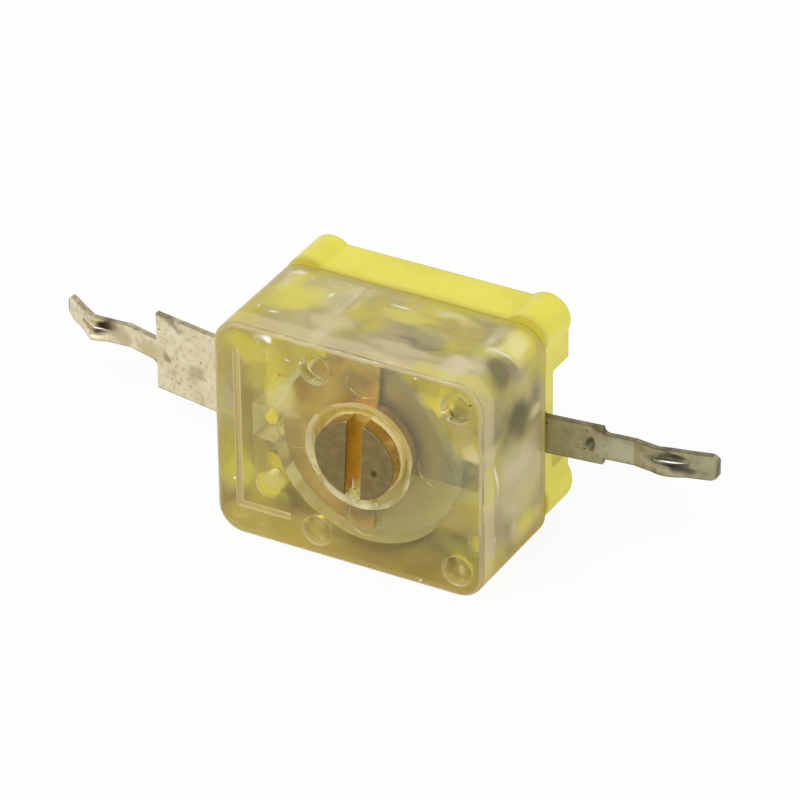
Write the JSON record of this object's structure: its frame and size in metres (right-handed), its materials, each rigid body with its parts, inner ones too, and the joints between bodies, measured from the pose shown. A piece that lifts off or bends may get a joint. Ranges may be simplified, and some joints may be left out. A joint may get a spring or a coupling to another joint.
{
  "type": "variable capacitor",
  "caption": "Small screwdriver-adjusted trimmer capacitor: half-round brass vanes between films in a clear cover on a yellow base, with flat solder tags.",
  "frame": {"origin": "centre of the slotted head's end face, on the rotor axis", "axes": "+Y along the rotor axis from the slotted head towards the feet that sit on a board, +X along the tags towards the narrow stator tag, +Z towards the upper long side"},
  "size_m": [0.0258, 0.0071, 0.0084],
  "materials": {
    "clear_cover": "clear, slightly yellowed moulded plastic with soft edges",
    "yellow_base": "bright lemon yellow moulded plastic, half gloss",
    "brass": "turned brass, dulled to a grey brown",
    "vane_brass": "thin rolled brass sheet, warm",
    "stator_brass": "thin brass sheet, greyed",
    "plated_steel": "plated",
    "spring_bronze": "spring bronze",
    "tinned_tag": "dull tinned strip with small stains",
    "film": "thin cloudy plastic film"
  },
  "bodies": {
    "housing": {"cover": "clear_cover", "base": "yellow_base", "spring_washer": "spring_bronze", "rotor_terminal": "tinned_tag", "stator_terminal": "tinned_tag", "stator_rivets": "plated_steel", "stator_foot_spacer": "plated_steel", "stator_vane_1": "stator_brass", "stator_vane_2": "stator_brass", "stator_vane_3": "stator_brass", "stator_vane_4": "stator_brass", "stator_spacer_1": "plated_steel", "stator_spacer_2": "plated_steel", "stator_spacer_3": "plated_steel", "film_1": "film", "film_2": "film", "film_3": "film", "film_4": "film", "film_5": "film", "film_6": "film", "film_7": "film", "film_8": "film"},
    "rotor": {"rotor_shaft": "brass", "clamp_collar": "brass", "retaining_ring": "plated_steel", "rotor_vane_1": "vane_brass", "rotor_vane_2": "vane_brass", "rotor_vane_3": "vane_brass", "rotor_vane_4": "vane_brass", "rotor_vane_5": "vane_brass", "rotor_spacer_1": "brass", "rotor_spacer_2": "brass", "rotor_spacer_3": "brass", "rotor_spacer_4": "brass"}
  },
  "joints": [
    {"name": "rotor_spin", "type": "hinge", "parent": "housing", "child": "rotor", "pos_m": [0, 0, 0], "axis": [0, -1, 0], "continuous": true}
  ]
}
